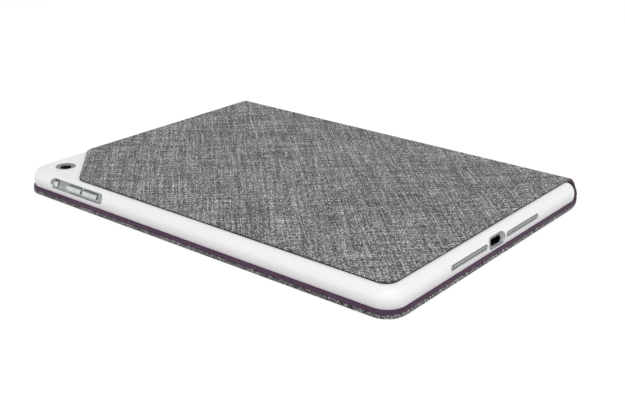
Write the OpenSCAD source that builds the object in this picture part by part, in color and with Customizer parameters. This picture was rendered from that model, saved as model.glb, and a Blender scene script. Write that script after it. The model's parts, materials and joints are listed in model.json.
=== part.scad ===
// Folding case for a tablet. A front cover holds a low keyboard, a padded spine
// joins it to the back, and the back carries the tray that grips the tablet.
// The case is closed and lies on its front cover: the keyboard faces up, into
// the tray. X runs along the spine, Y from the free edge to the spine, Z up.
// Sizes are in millimetres.

/* [Case] */
// Length of the front cover, along X
case_l = 245; // [245:0.5:247]
// Depth of the closed case, from the free edge to the outside of the spine
case_w = 176; // [176:0.5:177]
// Height of the closed case
case_h = 14; // [14:0.1:14.4]
// Thickness of the woven covering
cloth_t = 0.45; // [0.4:0.05:0.45]

/* [Front cover] */
// Thickness of the whole front cover, keyboard included
cover_t = 3.75; // [3.75:0.05:3.85]
// Corner radius of the front cover at its free edge
cover_r = 10.6; // [9:0.2:12]
// Height of the turned-up rim of the woven covering
rim_h = 1.7; // [1.5:0.1:1.9]
// Thickness of the plate that the keys stand in
deck_plate_t = 0.9; // [0.8:0.05:0.9]

/* [Keyboard] */
// Distance from one key to the next, along X
pitch_x = 16.8; // [16.4:0.1:16.8]
// Distance from one row of keys to the next
pitch_y = 15.6; // [15:0.1:15.6]
// Gap between two key caps
key_gap = 2.4; // [2.2:0.1:2.8]
// Travel of a key
key_travel = 0.6; // [0.5:0.1:0.6]

/* [Tray] */
// Length of the tray, along X
tray_l = 244; // [243.6:0.1:244]
// Thickness of the tray's side wall
tray_wall = 1.7; // [1.5:0.1:1.8]
// Corner radius of the tray at its free edge
tray_r = 10.4; // [9.6:0.2:11]
// Corner radius of the tray beside the spine
tray_back_r = 5.2; // [5:0.1:6]
// Width of the rounded shoulder round the tray's back
shoulder_w = 5; // [4.6:0.1:5]
// Height of the rounded shoulder
shoulder_h = 6; // [5.6:0.1:6]
// Thickness of the tray's back
tray_back_t = 0.75; // [0.7:0.05:0.9]

/* [Back panel] */
// Leg of the cut-off corner that clears the camera
panel_cut = 34; // [30:1:36]
// Thickness of the back panel, board and covering together
panel_t = 1.05; // [1:0.05:1.1]

/* [Openings] */
// Radius of the camera window at the tray's back
camera_r = 5.4; // [5:0.1:5.6]
// Length of the side-key slot
key_slot_l = 41.9; // [41:0.5:42]
// Height of the side-key slot
key_slot_h = 5.4; // [5:0.1:5.6]
// Length of each speaker slot
speaker_l = 32.7; // [30:0.5:33]
// Height of each speaker slot
speaker_h = 3.1; // [2.8:0.1:3.2]
// Width of the connector opening
port_w = 15.6; // [15:0.1:15.8]
// Height of the connector opening
port_h = 6.2; // [6:0.1:6.4]

/* [Hidden] */
cut = 0.01;
fit = 0.05;
play = 0.1;
round_steps = 8;
fine_fn = 96;
small_fn = 48;

// Outside of the case
x_end = case_l / 2;
y_free = -case_w / 2;
y_spine = case_w / 2;

// Front cover, from the floor up
cover_y1 = y_spine - 3.6;
board_z = cloth_t;
board_t = 0.5;
deck_z = board_z + board_t;
deck_top = cover_t;
plate_z = deck_top - deck_plate_t;
base_t = 0.3;
circuit_z = deck_z + base_t;
circuit_t = 0.4;
dome_z = circuit_z + circuit_t;
dome_sheet_t = 0.15;
dome_r = 2.8;
half_dome_r = 1.9;
deck_in = 0.3;
well_x = x_end - 4;
well_y0 = y_free + 4;
well_y1 = cover_y1 - 3;
key_field_y1 = -6;

// Keys: the caps stand in holes in the deck plate, with a flange below it
units_across = 14;
keys_x0 = -units_across * pitch_x / 2;
bottom_row_y = -75.7;
cap_z = deck_top - 1.2;
cap_top = deck_top - 0.1;
flange_t = 0.2;
flange_out = 0.7;
cap_shell = 0.6;
cap_r = 1.4;
key_play = 0.3;
dome_gap = 0.15;
dome_h = cap_top - cap_shell - key_travel - dome_gap - dome_z - dome_sheet_t;

// Keys that have a joint of their own: name, row from the front, first unit
// and width in units. Rows are counted from 0 at the free edge.
SINGLE_KEYS = [
    ["home_key", 4, 0, 1], ["delete_key", 4, 13, 1],
    ["tab_key", 3, 0, 1],
    ["caps_lock_key", 2, 0, 1.25], ["return_key", 2, 12.25, 1.75],
    ["left_shift_key", 1, 0, 1.75], ["right_shift_key", 1, 11.75, 2.25],
    ["fn_key", 0, 0, 1], ["control_key", 0, 1, 1], ["left_alt_key", 0, 2, 1],
    ["left_command_key", 0, 3, 1.25], ["space_bar", 0, 4.25, 4.5],
    ["right_command_key", 0, 8.75, 1.25], ["right_alt_key", 0, 10, 1],
    ["left_arrow_key", 0, 11, 1], ["right_arrow_key", 0, 13, 1]
];
// Half-height keys: name, unit, and 0 for the lower or 1 for the upper one
HALF_KEYS = [["down_arrow_key", 12, 0], ["up_arrow_key", 12, 1]];
// Rows of equal letter, digit and punctuation keys: name, row, first unit, count
KEY_ROWS = [
    ["digit_keys", 4, 1, 12], ["upper_letter_keys", 3, 1, 13],
    ["middle_letter_keys", 2, 1.25, 11], ["lower_letter_keys", 1, 1.75, 10]
];

// Behind the keys
dock_y = 3;
dock_w = 6;
dock_l = 190;
liner_y0 = 12;
liner_y1 = cover_y1 - 4.4;
liner_x = 117;
liner_t = 0.45;
battery_x = 60;
battery_y = 38;
battery_l = 84;
battery_w = 42;
magnet_t = 1.5;
magnet_l = 20;
dock_magnet_w = 4.5;
dock_magnet_x = [-72, -36, 36, 72];
closing_magnet_w = 2;
closing_magnet_x = [-70, 70];
closing_magnet_in = 2.4;
pair_x = 104;
pair_r = 2;
lamp_x = 112;
lamp = [2.6, 1.2];
tongue_w = 10;
tongue_y1 = 52;
socket_y = 30;
socket_w = 7.6;
socket_h = 2.4;
socket_wall = 0.3;
socket_z = deck_z + play + socket_h / 2;
socket_x0 = -x_end + 0.5;
socket_x1 = -well_x + 0.4;
switch_y = 46;
switch_w = 3;
switch_travel = 2.5;
switch_z0 = 1.9;
switch_z1 = 2.65;

// Tray
tray_x = tray_l / 2;
tray_y0 = y_free + 0.7;
tray_y1 = y_spine - 1.5;
tray_z = deck_top + fit;
tray_top = case_h - panel_t;
shoulder_z = tray_top - shoulder_h;
bay_top = tray_top - tray_back_t;
bay_shoulder_w = shoulder_w - 0.8;
bay_shoulder_h = bay_top - shoulder_z;
smallest_r = 0.3;
lip_h = 0.5;
lip_in = 0.15;
lip_more_r = 4;
lining_t = 0.3;

// Openings in the tray
port_z = 8.1;
port_r = 2.9;
camera = [-107.2, -71.7];
lens_r = 2.95;
key_slot_x = -80.85;
key_slot_z = 9.1;
side_key_z = 9.3;
slider_x = -97.4;
slider_r = 1.6;
slider_travel = 0.8;
volume_x = [-82.6, -69.9];
volume_l = 11.2;
volume_h = 2.3;
volume_out = 0.45;
side_key_in = 2.4;
port_hole = [9.6, 4.6];
speaker_from_port = 8.6;
speaker_y = speaker_from_port + speaker_l / 2;
grille_holes = 24;
grille_hole_r = 0.44;
grille_row = 0.75;
speaker_z = 8;
insert_in = 1.6;
wall_cut = 4.5;
grille_in = 0.85;
grille_t = 0.55;
frame_in = 0.6;
plate_in = 1;

// Back panel
panel_x0 = -x_end + 4.7;
panel_x1 = x_end - 6.3;
panel_y0 = y_free + 6.3;
panel_y1 = y_spine - 3.2;
panel_r = 6.5;
panel_cut_r = 8;

// Spine: a flat laminate whose covering turns in at both edges
spine_low_r = 5;
spine_low = [y_spine - spine_low_r, spine_low_r];
spine_high_r = 2.5;
spine_high = [y_spine - spine_high_r, case_h - spine_high_r];
spine_turn = 60;
spine_top_x = x_end - 5.5;
spine_middle = [x_end - 1.9, 8];
spine_foot = [x_end - 0.7, 3.5];
spine_board_t = 0.45;
spine_liner_t = 0.3;

// ---- Outlines ----

function unit(v) = v / norm(v);

// The arc that rounds corner p of a counter-clockwise outline
function corner_arc(a, p, b, r) =
    let (u = unit(a - p), v = unit(b - p), half = acos(u * v) / 2,
         centre = p + unit(u + v) * r / sin(half),
         start = p + u * r / tan(half) - centre)
    [for (k = [0 : round_steps])
        let (t = (180 - 2 * half) * k / round_steps)
        centre + [start[0] * cos(t) - start[1] * sin(t),
                  start[0] * sin(t) + start[1] * cos(t)]];

// A counter-clockwise outline with each corner rounded by its own radius
function rounded(points, radii) =
    let (n = len(points))
    [for (i = [0 : n - 1])
        each corner_arc(points[(i + n - 1) % n], points[i],
                        points[(i + 1) % n], radii[i])];

// A rectangle by its corners, with one radius at the free edge and one behind
function plate(x0, y0, x1, y1, r_free, r_back) =
    rounded([[x0, y0], [x1, y0], [x1, y1], [x0, y1]],
            [r_free, r_free, r_back, r_back]);

// A rounded rectangle by its centre and size
function pill(centre, size, r) =
    plate(centre[0] - size[0] / 2, centre[1] - size[1] / 2,
          centre[0] + size[0] / 2, centre[1] + size[1] / 2, r, r);

// A rectangle with its corners cut at 45 degrees, used for keys
function key_outline(centre, size, c) =
    let (x = size[0] / 2, y = size[1] / 2)
    [for (p = [[x - c, -y], [x, c - y], [x, y - c], [x - c, y],
               [c - x, y], [-x, y - c], [-x, c - y], [c - x, -y]])
        centre + p];

function arc(centre, r, a0, a1) =
    [for (k = [0 : round_steps])
        let (t = a0 + (a1 - a0) * k / round_steps)
        centre + r * [cos(t), sin(t)]];

function reversed(list) = [for (i = [len(list) - 1 : -1 : 0]) list[i]];

// The side of the tray, seen along the wall: distance in from the outermost
// face, and height. depth moves it inwards, towards the tablet.
function wall_line(depth) = concat(
    [[depth, tray_z]],
    [for (k = [0 : round_steps])
        let (t = 90 * k / round_steps)
        [depth + (shoulder_w - depth) * (1 - cos(t)),
         shoulder_z + (shoulder_h - depth) * sin(t)]]
);

// The band of wall between two depths
function wall_band(outer, inner) =
    concat(wall_line(outer), reversed(wall_line(inner)));

// The outline of the back panel, moved in by d
function panel_outline(d) =
    let (x0 = panel_x0 + d, x1 = panel_x1 - d, y0 = panel_y0 + d,
         y1 = panel_y1 - d,
         line = panel_x0 + panel_y0 + panel_cut + d * sqrt(2))
    rounded([[line - y0, y0], [x1, y0], [x1, y1], [x0, y1], [x0, line - x0]],
            [panel_cut_r - d, panel_r - d, 2 - d, 2 - d, panel_cut_r - d]);

// ---- Directions ----

// An outline drawn as X and Z, running from y0 to y1
module along_y(y0, y1) {
    translate([0, y1, 0]) rotate([90, 0, 0]) linear_extrude(y1 - y0) children();
}

// An outline drawn as Y and Z, running from x0 to x1
module along_x(x0, x1) {
    translate([x0, 0, 0]) rotate([90, 0, 90]) linear_extrude(x1 - x0) children();
}

module slab(z0, z1) {
    translate([0, 0, z0]) linear_extrude(z1 - z0) children();
}

// ---- Front cover ----

function cover_outline(d, back) =
    plate(-x_end + d, y_free + d, x_end - d, cover_y1 - back,
          cover_r - d, 2);

module cover_fabric() {
    color([0.5, 0.5, 0.52]) difference() {
        slab(0, rim_h) polygon(cover_outline(0, 0));
        slab(board_z, rim_h + 1) polygon(cover_outline(cloth_t, -3));
        socket_opening();
    }
}

// The hole that a charging plug enters, in the edge at -X
module socket_opening() {
    along_x(-x_end - 1, socket_x1 + play)
        polygon(pill([socket_y, socket_z], [socket_w, socket_h], 0.6));
}

module cover_board() {
    color([0.25, 0.24, 0.26])
        slab(board_z, deck_z) polygon(cover_outline(cloth_t + fit, 0.6));
}

module key_hole(centre, size) {
    slab(plate_z - cut, deck_top + cut)
        polygon(key_outline(centre, size + 2 * key_play * [1, 1], cap_r));
}

module deck_frame() {
    color([0.34, 0.27, 0.34]) difference() {
        union() {
            slab(deck_z, rim_h) polygon(cover_outline(cloth_t + fit, 0));
            slab(rim_h, deck_top) polygon(cover_outline(deck_in, -0.6));
        }
        slab(deck_z - cut, plate_z)
            polygon(plate(-well_x, well_y0, well_x, well_y1, 3, 2));
        for (k = SINGLE_KEYS) key_hole(key_centre(k[1], k[2], k[3]), key_size(k[3]));
        for (k = HALF_KEYS) key_hole(half_centre(k), half_size());
        for (row = KEY_ROWS)
            for (i = [0 : row[3] - 1])
                key_hole(key_centre(row[1], row[2] + i, 1), key_size(1));
        slab(plate_z - cut, deck_top + cut)
            polygon(pill([0, dock_y], [dock_l, dock_w], 1));
        slab(deck_top - liner_t, deck_top + cut)
            polygon(plate(-liner_x, liner_y0, liner_x, liner_y1, 3, 3));
        translate([pair_x, dock_y, plate_z - cut])
            cylinder(r = pair_r + key_play, h = 2, $fn = small_fn);
        slab(plate_z - cut, deck_top + cut)
            polygon(pill([lamp_x, dock_y], lamp, 0.5));
        socket_opening();
        along_x(-x_end - 1, -well_x + cut)
            polygon(plate(switch_y - key_play, switch_z0 - key_play,
                          switch_y + switch_w + switch_travel + key_play,
                          switch_z1 + key_play, 0.2, 0.2));
        closing_magnet_shape(deck_z - cut, play);
    }
}

module rear_liner() {
    color([0.36, 0.29, 0.36])
        slab(deck_top - liner_t, deck_top)
            polygon(plate(play - liner_x, liner_y0 + play, liner_x - play,
                          liner_y1 - play, 2.9, 2.9));
}

module base_plate() {
    color("silver")
        slab(deck_z, circuit_z)
            polygon(plate(0.5 - well_x, well_y0 + 0.5, well_x - 0.5,
                          well_y1 - 0.5, 2.5, 1.5));
}

// The board fills the key field, with a tongue at each end of the deck: one
// for the socket and switch, one for the pairing button and lamp
module circuit_board() {
    color([0.1, 0.35, 0.2])
        slab(circuit_z, dome_z) difference() {
            polygon(plate(1 - well_x, well_y0 + 1, well_x - 1, tongue_y1, 2, 1));
            polygon(plate(tongue_w - well_x, key_field_y1, pair_x - tongue_w / 2,
                          tongue_y1 + 2, 1, 1));
            polygon(plate(pair_x - tongue_w / 2 - 1, dock_y + tongue_w / 2, well_x,
                          tongue_y1 + 2, 1, 1));
        }
}

// A dome, drawn at the height it has under a fully pressed key
module dome(centre, r) {
    translate([centre[0], centre[1], dome_z + dome_sheet_t]) {
        cylinder(r = r, h = dome_h / 2, $fn = 12);
        cylinder(r = 0.64 * r, h = dome_h, $fn = 12);
    }
}

module dome_sheet() {
    color([0.85, 0.85, 0.8]) {
        slab(dome_z, dome_z + dome_sheet_t)
            polygon(plate(1.5 - well_x, well_y0 + 1.5, well_x - 1.5,
                          key_field_y1 - 0.5, 1.5, 1));
        for (k = SINGLE_KEYS) dome(key_centre(k[1], k[2], k[3]), dome_r);
        for (k = HALF_KEYS) dome(half_centre(k), half_dome_r);
        for (row = KEY_ROWS)
            for (i = [0 : row[3] - 1])
                dome(key_centre(row[1], row[2] + i, 1), dome_r);
    }
}

module battery_cells() {
    color([0.75, 0.76, 0.78])
        for (side = [-1, 1])
            slab(circuit_z, plate_z - play)
                polygon(pill([side * battery_x, battery_y],
                             [battery_l, battery_w], 2));
}

module dock_strip() {
    color([0.22, 0.18, 0.22])
        slab(plate_z, deck_top)
            polygon(pill([0, dock_y], [dock_l, dock_w] - 2 * play * [1, 1], 0.9));
}

module dock_magnets() {
    color([0.6, 0.6, 0.62])
        for (x = dock_magnet_x)
            slab(plate_z - magnet_t, plate_z - fit)
                polygon(pill([x, dock_y], [magnet_l, dock_magnet_w], 0.5));
}

// Magnets in the free edge, or their pockets where d is the room round them
module closing_magnet_shape(z0, d) {
    for (x = closing_magnet_x)
        slab(z0, deck_z + magnet_t + d)
            polygon(pill([x, y_free + closing_magnet_in],
                         [magnet_l + 2 * d, closing_magnet_w + 2 * d], 0.4));
}

module closing_magnets() {
    color([0.6, 0.6, 0.62]) closing_magnet_shape(deck_z, 0);
}

module charge_socket() {
    outside = [socket_w, socket_h] - 2 * play * [1, 1];
    color([0.7, 0.7, 0.72]) difference() {
        along_x(socket_x0, socket_x1) polygon(pill([socket_y, socket_z], outside, 0.5));
        along_x(-x_end, socket_x1 - socket_wall)
            polygon(pill([socket_y, socket_z], outside - 2 * socket_wall * [1, 1], 0.3));
    }
}

module power_switch() {
    color([0.2, 0.18, 0.2])
        along_x(-x_end + 0.35, -well_x + 2)
            polygon(plate(switch_y, switch_z0, switch_y + switch_w,
                          switch_z1, 0.2, 0.2));
}

module pair_button() {
    color([0.85, 0.85, 0.85]) translate([pair_x, dock_y, 0]) {
        translate([0, 0, cap_z])
            cylinder(r = pair_r, h = cap_top - cap_z, $fn = small_fn);
        translate([0, 0, cap_z])
            cylinder(r = pair_r + flange_out, h = flange_t, $fn = small_fn);
    }
}

module status_lamp() {
    color([0.8, 1, 0.8])
        slab(plate_z, deck_top)
            polygon(pill([lamp_x, dock_y], lamp - 2 * play * [1, 1], 0.45));
}

// ---- Keys ----

function key_size(units) = [units * pitch_x - key_gap, pitch_y - key_gap];
function key_centre(row, first, units) =
    [keys_x0 + (first + units / 2) * pitch_x, bottom_row_y + row * pitch_y];
function half_size() = [pitch_x - key_gap, (pitch_y - key_gap) / 2 - key_gap / 2];
function half_centre(k) =
    key_centre(0, k[1], 1)
    + [0, (k[2] - 0.5) * (half_size()[1] + key_gap)];

// A hollow cap with a flange all round its foot
module key_cap(centre, size) {
    color([0.88, 0.87, 0.88]) difference() {
        union() {
            slab(cap_z, cap_top) polygon(key_outline(centre, size, cap_r));
            slab(cap_z, cap_z + flange_t)
                polygon(key_outline(centre, size + 2 * flange_out * [1, 1], cap_r));
        }
        slab(cap_z - cut, cap_top - cap_shell)
            polygon(key_outline(centre, size - 2 * cap_shell * [1, 1], 1));
    }
}

module key_row(row) {
    for (i = [0 : row[3] - 1])
        key_cap(key_centre(row[1], row[2] + i, 1), key_size(1));
}

// ---- Spine ----

// A strip of the spine's side, from the outside inwards
function spine_strip(t0, t1) = concat(
    arc(spine_low, spine_low_r - t0, -spine_turn, 0),
    arc(spine_high, spine_high_r - t0, 0, spine_turn),
    arc(spine_high, spine_high_r - t1, spine_turn, 0),
    arc(spine_low, spine_low_r - t1, 0, -spine_turn)
);

// The spine is as long as the cover at its foot and as the panel at its top
module spine_ends(d) {
    along_y(y_spine - 10, y_spine + 1)
        polygon([[d - spine_foot[0], -1], [spine_foot[0] - d, -1],
                 spine_foot - [d, 0], spine_middle - [d, 0],
                 [spine_top_x - d, case_h], [d - spine_top_x, case_h],
                 [d - spine_middle[0], spine_middle[1]],
                 [d - spine_foot[0], spine_foot[1]]]);
}

module spine_fabric() {
    color([0.5, 0.5, 0.52]) intersection() {
        along_x(-x_end, x_end) polygon(spine_strip(0, cloth_t));
        spine_ends(0);
    }
}

module spine_board() {
    color([0.25, 0.24, 0.26]) intersection() {
        translate([-x_end, y_spine - cloth_t - spine_board_t, spine_low[1]])
            cube([case_l, spine_board_t, spine_high[1] - spine_low[1]]);
        spine_ends(0.6);
    }
}

module spine_liner() {
    depth = cloth_t + spine_board_t + spine_liner_t;
    color([0.36, 0.29, 0.36]) intersection() {
        translate([-x_end, y_spine - depth, spine_low[1] - 0.4])
            cube([case_l, spine_liner_t, spine_high[1] - spine_low[1] + 1.2]);
        spine_ends(0.4);
    }
}

// ---- Back and tray ----

module back_fabric() {
    color([0.5, 0.5, 0.52]) difference() {
        slab(tray_top, case_h) polygon(panel_outline(0));
        slab(tray_top - cut, case_h - cloth_t) polygon(panel_outline(cloth_t));
    }
}

module back_board() {
    color([0.25, 0.24, 0.26])
        slab(tray_top, case_h - cloth_t) polygon(panel_outline(cloth_t));
}

// The tray's outline moved in by d, with wider corners where more_r is given
function tray_outline(d, more_r = 0) =
    plate(d - tray_x, tray_y0 + d, tray_x - d, tray_y1 - d,
          tray_r - d + more_r, max(tray_back_r - d, smallest_r) + more_r);

function tray_ring(d, z) = [for (p = tray_outline(d)) [p[0], p[1], z]];

// The rings of a rounded shoulder of width w and height h that starts d in
function shoulder_rings(d, w, h) =
    [for (k = [0 : round_steps])
        let (t = 90 * k / round_steps)
        tray_ring(d + w * (1 - cos(t)), shoulder_z + h * sin(t))];

// A solid through rings of equal length, listed upwards
module loft(rings) {
    n = len(rings[0]);
    m = len(rings);
    polyhedron(
        points = [for (ring = rings) each ring],
        faces = concat(
            [[for (i = [0 : n - 1]) i]],
            [[for (i = [n - 1 : -1 : 0]) (m - 1) * n + i]],
            [for (j = [0 : m - 2], i = [0 : n - 1])
                let (next = (i + 1) % n)
                [j * n + i, (j + 1) * n + i, (j + 1) * n + next, j * n + next]]
        )
    );
}

module tray_body() {
    loft(concat([tray_ring(0, tray_z)],
                shoulder_rings(0, shoulder_w, shoulder_h)));
}

// The tablet's bay, with a narrower mouth whose lip the tablet snaps past
module tray_bay() {
    loft(concat([tray_ring(tray_wall, tray_z + lip_h)],
                shoulder_rings(tray_wall, bay_shoulder_w, bay_shoulder_h)));
    slab(tray_z - 1, tray_z + lip_h + 0.2)
        polygon(tray_outline(tray_wall + lip_in, lip_more_r));
}

// A prism through the free-edge wall, from an outline of X and Z
module through_side() {
    along_y(tray_y0 - 1, tray_y0 + wall_cut) children();
}

// A prism through the connector-end wall, from an outline of Y and Z
module through_end() {
    along_x(tray_x - wall_cut, tray_x + 1) children();
}

module key_slot_outline(d) {
    polygon(pill([key_slot_x, key_slot_z], [key_slot_l - 2 * d, key_slot_h - 2 * d],
                 key_slot_h / 2 - d - cut));
}

module speaker_outline(side, d) {
    polygon(pill([side * speaker_y, speaker_z],
                 [speaker_l - 2 * d, speaker_h - 2 * d],
                 speaker_h / 2 - d - cut));
}

module port_outline(d) {
    polygon(pill([0, port_z], [port_w - 2 * d, port_h - 2 * d], port_r - d));
}

module tray_shell() {
    color([0.95, 0.95, 0.94]) difference() {
        tray_body();
        tray_bay();
        through_side() key_slot_outline(0);
        through_end() speaker_outline(-1, 0);
        through_end() speaker_outline(1, 0);
        through_end() port_outline(0);
        translate([camera[0], camera[1], bay_top - 1])
            cylinder(r = camera_r, h = 3, $fn = fine_fn);
    }
}

module tray_lining() {
    color([0.6, 0.58, 0.6]) difference() {
        slab(bay_top - lining_t, bay_top)
            polygon(tray_outline(tray_wall + bay_shoulder_w + 0.2));
        translate([camera[0], camera[1], bay_top - 1])
            cylinder(r = camera_r + 0.6, h = 3, $fn = fine_fn);
    }
}

// A dished ring that leads the view in to the tablet's lens
module camera_ring() {
    color([0.66, 0.67, 0.68]) translate([camera[0], camera[1], 0])
        rotate_extrude($fn = fine_fn)
            polygon([[lens_r, bay_top - lining_t], [camera_r - fit, bay_top - lining_t],
                     [camera_r - fit, tray_top - play], [camera_r - 0.35, tray_top - play],
                     [lens_r, bay_top + play]]);
}

module key_plate() {
    color([0.72, 0.74, 0.75]) difference() {
        intersection() {
            translate([0, tray_y0, 0]) along_x(-x_end, 0) polygon(wall_band(plate_in, insert_in));
            through_side() key_slot_outline(fit);
        }
        through_side()
            polygon(pill([slider_x, side_key_z],
                         [2 * slider_r + 0.6, 2 * slider_r + 0.6 + slider_travel],
                         slider_r));
        for (x = volume_x)
            through_side()
                polygon(pill([x, side_key_z],
                             [volume_l + 2 * key_play, volume_h + 2 * key_play], 1.2));
    }
}

module mute_slider() {
    color([0.82, 0.84, 0.84])
        translate([slider_x, tray_y0 + side_key_in, side_key_z - slider_travel / 2])
            rotate([90, 0, 0])
                cylinder(r = slider_r, h = side_key_in - 0.75, $fn = 64);
}

module volume_key(x) {
    color([0.82, 0.84, 0.84])
        along_y(tray_y0 + volume_out, tray_y0 + side_key_in)
            polygon(pill([x, side_key_z], [volume_l, volume_h], 1.1));
}

module speaker_grille(side) {
    step = (speaker_l - 3) / (grille_holes - 1);
    color([0.72, 0.74, 0.75]) difference() {
        along_x(tray_x - grille_in - grille_t, tray_x - grille_in) speaker_outline(side, fit);
        for (i = [0 : grille_holes - 1])
            for (row = [-1, 1])
                translate([tray_x - 2, side * speaker_y + (i - (grille_holes - 1) / 2) * step,
                           speaker_z + row * grille_row])
                    rotate([0, 90, 0]) cylinder(r = grille_hole_r, h = 3, $fn = 8);
    }
}

module port_frame() {
    color([0.66, 0.67, 0.68]) difference() {
        intersection() {
            translate([tray_x, 0, 0]) mirror([1, 0, 0]) rotate([90, 0, 0])
                linear_extrude(port_w, center = true) polygon(wall_band(frame_in, insert_in));
            through_end() port_outline(fit);
        }
        through_end() polygon(pill([0, port_z], port_hole, 1));
    }
}

cover_fabric();
cover_board();
deck_frame();
rear_liner();
base_plate();
circuit_board();
dome_sheet();
battery_cells();
dock_strip();
dock_magnets();
closing_magnets();
charge_socket();
power_switch();
pair_button();
status_lamp();
spine_fabric();
spine_board();
spine_liner();
back_fabric();
back_board();
tray_shell();
tray_lining();
camera_ring();
key_plate();
mute_slider();
volume_key(volume_x[0]);  // volume_up_key
volume_key(volume_x[1]);  // volume_down_key
speaker_grille(-1);  // speaker_grille_left
speaker_grille(1);  // speaker_grille_right
port_frame();
for (k = SINGLE_KEYS)
    key_cap(key_centre(k[1], k[2], k[3]), key_size(k[3]));
for (k = HALF_KEYS)
    key_cap(half_centre(k), half_size());
for (k = KEY_ROWS)
    key_row(k);
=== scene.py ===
"""The looks of a folding tablet keyboard case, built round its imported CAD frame.

The closed case lies on its front cover: free edge at -Y, spine at +Y, camera window
at -X, connector opening at +X. Sizes are in mm up to the moment a mesh is made.
"""

import json
import math

import bmesh
import bpy
from mathutils import Matrix, Vector


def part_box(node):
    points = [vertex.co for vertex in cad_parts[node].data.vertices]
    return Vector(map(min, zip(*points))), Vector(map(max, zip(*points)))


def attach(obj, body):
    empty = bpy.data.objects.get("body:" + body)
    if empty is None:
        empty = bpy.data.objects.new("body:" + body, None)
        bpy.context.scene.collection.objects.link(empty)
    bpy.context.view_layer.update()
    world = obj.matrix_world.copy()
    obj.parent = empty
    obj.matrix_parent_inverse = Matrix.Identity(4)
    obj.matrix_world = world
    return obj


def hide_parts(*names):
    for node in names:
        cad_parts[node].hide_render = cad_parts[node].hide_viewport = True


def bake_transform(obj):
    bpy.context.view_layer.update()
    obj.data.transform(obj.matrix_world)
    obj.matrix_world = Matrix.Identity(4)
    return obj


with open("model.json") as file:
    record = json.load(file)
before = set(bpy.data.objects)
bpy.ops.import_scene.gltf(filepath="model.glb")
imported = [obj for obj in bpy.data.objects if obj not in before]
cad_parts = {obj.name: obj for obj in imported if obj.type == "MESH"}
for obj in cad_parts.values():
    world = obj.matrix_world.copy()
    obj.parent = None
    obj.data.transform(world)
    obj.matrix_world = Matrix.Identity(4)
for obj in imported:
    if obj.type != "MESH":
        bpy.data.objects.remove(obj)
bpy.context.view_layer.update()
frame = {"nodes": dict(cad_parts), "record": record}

MM = 0.001
# How far each sliding piece moves
TRAVEL = {j["child"]: j["range_m"][1] / MM for j in frame["record"]["behaviour"]["joints"]
          if j["type"] == "slide"}


def box_mm(node):
    """The lowest and highest corner of a CAD node, in millimetres."""
    low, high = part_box(node)
    return low / MM, high / MM


# ---------------------------------------------------------------- sizes, in mm

COVER_LOW, COVER_HIGH = box_mm("cover_fabric")
DECK_HIGH = box_mm("deck_frame")[1]
SPINE_HIGH = box_mm("spine_fabric")[1]
TRAY_LOW, TRAY_HIGH = box_mm("tray_shell")
PANEL_LOW, PANEL_HIGH = box_mm("back_fabric")
RING_LOW, RING_HIGH = box_mm("camera_ring")
RING_CENTRE = (RING_LOW + RING_HIGH) / 2
RING_R = (RING_HIGH.x - RING_LOW.x) / 2

# Points nearer than this are one, in metres: in a new mesh, after its modifiers, and
# in a CAD node's mesh
MERGE_NEW = 1e-7
MERGE_SETTLED = 2e-7
MERGE_CAD = 1e-6
# Edges of more degrees than this stay edges, where a piece doesn't say otherwise
SHARP = 35

# The cloth: its thickness, its grid and how clear of the fold the grid stops, its
# turned-up rim on the cover and its turned edge on the panel
CLOTH_T = 0.38
CLOTH_COLUMNS = 64
ROW_GAP = 4.0
ROW_LEAST = 0.02
FOLD_CLEAR = 0.4
COVER_R = 10.6
RIM_R = 0.35
RIM_TUCK = 0.35
RIM_TOP = COVER_HIGH.z + 0.2
# How wide the painted shade on the cover's rim fades in
RIM_SHADE_FADE = 0.5
PANEL_CUT = 34
PANEL_CUT_R = 8
PANEL_R = 6.5
PANEL_EDGE_R = 0.3
PANEL_EDGE_H = 0.34
PANEL_TUCK = 0.15
# The panel's outline runs on behind the spine, where nothing of it is used
PAST_SPINE = 5
HIDDEN_R = 2

# The tray: its corners, wall, rounded shoulder, bay and snap lip
TRAY_R = 10.4
TRAY_BACK_R = 7
SMALLEST_R = 0.3
TRAY_WALL = 1.7
TRAY_TUCK = 0.35
FOOT_R = 0.25
FOOT_H = 0.15
SHOULDER_W = 5
SHOULDER_H = 6
SHOULDER_Z = TRAY_HIGH.z - SHOULDER_H
BAY_TOP = TRAY_HIGH.z - 0.75
BAY_SHOULDER_W = SHOULDER_W - 0.8
LIP_H = 0.5
LIP_IN = 0.15

# Holes: room round an insert, what an end needs to be short of a full half circle,
# how deep they go, and how far a cutter stands past the surface
HOLE_ROOM = 0.1
SHORT_OF_ROUND = 0.02
HOLE_DEPTH = 4.2
CLEAR = 1

# The two folds and the lining inside them
LAMINATE = 1.2
LINING_LAP = 4
LINING_UNDER = 0.14
LINING_THIN = 1.0
LINING_PROUD = 0.1
HIGH_FOLD_PADDING = 0.75
LOW_FOLD_R = 5
HIGH_FOLD_R = 2.5
SPINE_MIDDLE = 8
HIGH_FOLD = (SPINE_HIGH.y - HIGH_FOLD_R, PANEL_HIGH.z - HIGH_FOLD_R)
LOW_FOLD = (SPINE_HIGH.y - LOW_FOLD_R, LOW_FOLD_R)
FOLD_STEPS = 14
STRAIGHT_STEPS = 3
# Height, and the spine's half-length there
SPINE_ENDS = [(0, 121.3), (1.5, 121.0), (3.5, 120.6), (5, 120.2), (8, 119.5),
              (10, 118.9), (11.5, 118.1), (12.8, 117.2), (14, 116.6)]

# Where the cloth reaches the cover's free edge, measured along the cloth from
# the panel's own Y scale
FOLDS_L = (HIGH_FOLD_R + LOW_FOLD_R) * math.pi / 2 + PANEL_HIGH.z - HIGH_FOLD_R - LOW_FOLD_R
RIM_V = SPINE_HIGH.y - HIGH_FOLD_R + FOLDS_L + SPINE_HIGH.y - LOW_FOLD_R - COVER_LOW.y

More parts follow.
